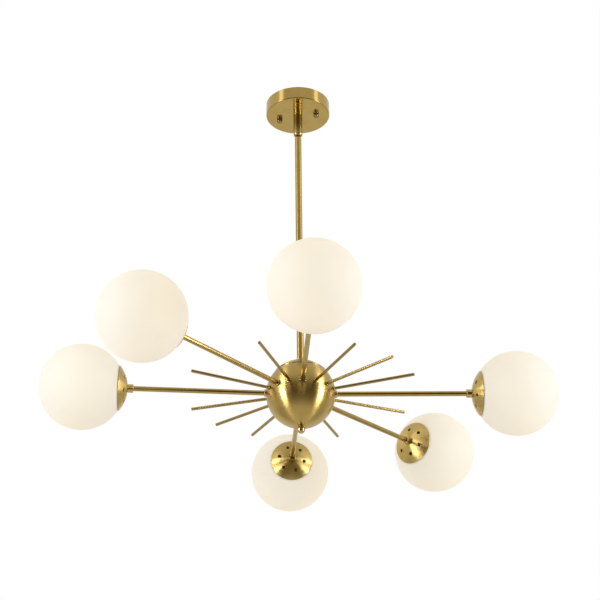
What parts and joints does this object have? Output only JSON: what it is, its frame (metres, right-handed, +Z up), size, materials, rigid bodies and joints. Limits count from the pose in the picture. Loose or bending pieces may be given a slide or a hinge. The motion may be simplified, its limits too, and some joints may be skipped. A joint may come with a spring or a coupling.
{
  "type": "sunburst chandelier",
  "caption": "Ceiling chandelier with a ball hub on a swivelling downrod, opal glass globes on radial arms and bare spokes between them.",
  "frame": {"origin": "centre of the ceiling face of the mounting bar, on the downrod's axis", "axes": "+Z up to the ceiling; +X along one arm; +Y along the arm a quarter turn on"},
  "size_m": [0.9138, 0.9138, 0.6875],
  "materials": {
    "satin_brass": "fine brushed satin",
    "bright_brass": "satin, turned",
    "plain_steel": "zinc plated",
    "spring_steel": "bright",
    "contact_brass": "bright",
    "opal_glass": "opal, gloss",
    "bulb_white": "frosted",
    "holder_white": "moulded",
    "seat_plastic": "moulded",
    "lead_cover": "plain"
  },
  "bodies": {
    "ceiling_mount": {"ceiling_bar": "plain_steel", "canopy_studs": "plain_steel", "canopy": "satin_brass", "ceiling_terminal": "holder_white", "ceiling_lead": "lead_cover", "swivel_housing": "bright_brass", "swivel_nipple": "plain_steel", "stem_nut": "plain_steel"},
    "canopy_washer_1": {"canopy_washer_1": "bright_brass"},
    "canopy_nut_1": {"canopy_nut_1": "bright_brass"},
    "canopy_washer_2": {"canopy_washer_2": "bright_brass"},
    "canopy_nut_2": {"canopy_nut_2": "bright_brass"},
    "swivel_seat": {"swivel_seat": "seat_plastic"},
    "fixture": {"swivel_ball": "bright_brass", "downrod": "bright_brass", "downrod_collar": "bright_brass", "hub_shell": "satin_brass", "hub_cap": "satin_brass", "hub_nipple": "plain_steel", "hub_yoke": "plain_steel", "hub_nuts": "plain_steel", "hub_terminal": "holder_white", "hub_wiring": "lead_cover", "finial_stud": "plain_steel", "hub_collars": "bright_brass", "arm_nuts": "plain_steel", "spoke_nuts": "plain_steel", "spokes": "bright_brass", "neck_couplings": "bright_brass", "socket_nipples": "plain_steel", "globe_springs": "spring_steel", "lampholders": "holder_white", "socket_contacts": "contact_brass", "arm_1": "bright_brass", "arm_2": "bright_brass", "arm_3": "bright_brass", "arm_4": "bright_brass", "arm_5": "bright_brass", "arm_6": "bright_brass", "cup_1": "satin_brass", "cup_2": "satin_brass", "cup_3": "satin_brass", "cup_4": "satin_brass", "cup_5": "satin_brass", "cup_6": "satin_brass"},
    "finial_washer": {"finial_washer": "bright_brass"},
    "finial": {"finial": "bright_brass"},
    "globe_1": {"globe_1": "opal_glass"},
    "bulb_1": {"bulb_1": "bulb_white"},
    "globe_2": {"globe_2": "opal_glass"},
    "bulb_2": {"bulb_2": "bulb_white"},
    "globe_3": {"globe_3": "opal_glass"},
    "bulb_3": {"bulb_3": "bulb_white"},
    "globe_4": {"globe_4": "opal_glass"},
    "bulb_4": {"bulb_4": "bulb_white"},
    "globe_5": {"globe_5": "opal_glass"},
    "bulb_5": {"bulb_5": "bulb_white"},
    "globe_6": {"globe_6": "opal_glass"},
    "bulb_6": {"bulb_6": "bulb_white"}
  },
  "joints": [
    {"name": "stem_turn", "type": "hinge", "parent": "ceiling_mount", "child": "swivel_seat", "pos_m": [0, 0, -0.0666], "axis": [0, 0, 1], "range_deg": [-170, 170]},
    {"name": "stem_tilt", "type": "hinge", "parent": "swivel_seat", "child": "fixture", "pos_m": [0, 0, -0.0666], "axis": [1, 0, 0], "range_deg": [-15, 15]},
    {"name": "globe_1_pull", "type": "slide", "parent": "fixture", "child": "globe_1", "axis": [0.9998, 0, 0.0209], "range_m": [0, 0.095]},
    {"name": "globe_2_pull", "type": "slide", "parent": "fixture", "child": "globe_2", "axis": [0.707, 0.707, 0.0209], "range_m": [0, 0.095]},
    {"name": "globe_3_pull", "type": "slide", "parent": "fixture", "child": "globe_3", "axis": [0, 0.9998, 0.0209], "range_m": [0, 0.095]},
    {"name": "globe_4_pull", "type": "slide", "parent": "fixture", "child": "globe_4", "axis": [-0.9998, 0, 0.0209], "range_m": [0, 0.095]},
    {"name": "globe_5_pull", "type": "slide", "parent": "fixture", "child": "globe_5", "axis": [-0.707, -0.707, 0.0209], "range_m": [0, 0.095]},
    {"name": "globe_6_pull", "type": "slide", "parent": "fixture", "child": "globe_6", "axis": [0, -0.9998, 0.0209], "range_m": [0, 0.095]},
    {"name": "bulb_1_out", "type": "slide", "parent": "fixture", "child": "bulb_1", "axis": [0.9998, 0, 0.0209], "range_m": [0, 0.028]},
    {"name": "bulb_2_out", "type": "slide", "parent": "fixture", "child": "bulb_2", "axis": [0.707, 0.707, 0.0209], "range_m": [0, 0.028]},
    {"name": "bulb_3_out", "type": "slide", "parent": "fixture", "child": "bulb_3", "axis": [0, 0.9998, 0.0209], "range_m": [0, 0.028]},
    {"name": "bulb_4_out", "type": "slide", "parent": "fixture", "child": "bulb_4", "axis": [-0.9998, 0, 0.0209], "range_m": [0, 0.028]},
    {"name": "bulb_5_out", "type": "slide", "parent": "fixture", "child": "bulb_5", "axis": [-0.707, -0.707, 0.0209], "range_m": [0, 0.028]},
    {"name": "bulb_6_out", "type": "slide", "parent": "fixture", "child": "bulb_6", "axis": [0, -0.9998, 0.0209], "range_m": [0, 0.028]},
    {"name": "finial_drop", "type": "slide", "parent": "fixture", "child": "finial_washer", "axis": [0, 0, -1], "range_m": [0, 0.008]},
    {"name": "finial_turn", "type": "hinge", "parent": "finial_washer", "child": "finial", "pos_m": [0, 0, -0.681], "axis": [0, 0, -1], "range_deg": [0, 3610]},
    {"name": "canopy_nut_1_drop", "type": "slide", "parent": "ceiling_mount", "child": "canopy_washer_1", "axis": [0, 0, -1], "range_m": [0, 0.0042]},
    {"name": "canopy_nut_1_turn", "type": "hinge", "parent": "canopy_washer_1", "child": "canopy_nut_1", "pos_m": [0.03433, -0.01082, -0.028], "axis": [0, 0, -1], "range_deg": [0, 2170]},
    {"name": "canopy_nut_2_drop", "type": "slide", "parent": "ceiling_mount", "child": "canopy_washer_2", "axis": [0, 0, -1], "range_m": [0, 0.0042]},
    {"name": "canopy_nut_2_turn", "type": "hinge", "parent": "canopy_washer_2", "child": "canopy_nut_2", "pos_m": [-0.03433, 0.01082, -0.028], "axis": [0, 0, -1], "range_deg": [0, 2170]}
  ],
  "couplings": [
    {"joint": "finial_turn", "follows": "finial_drop", "rad_per_m": 7854},
    {"joint": "canopy_nut_1_turn", "follows": "canopy_nut_1_drop", "rad_per_m": 8976},
    {"joint": "canopy_nut_2_turn", "follows": "canopy_nut_2_drop", "rad_per_m": 8976}
  ]
}
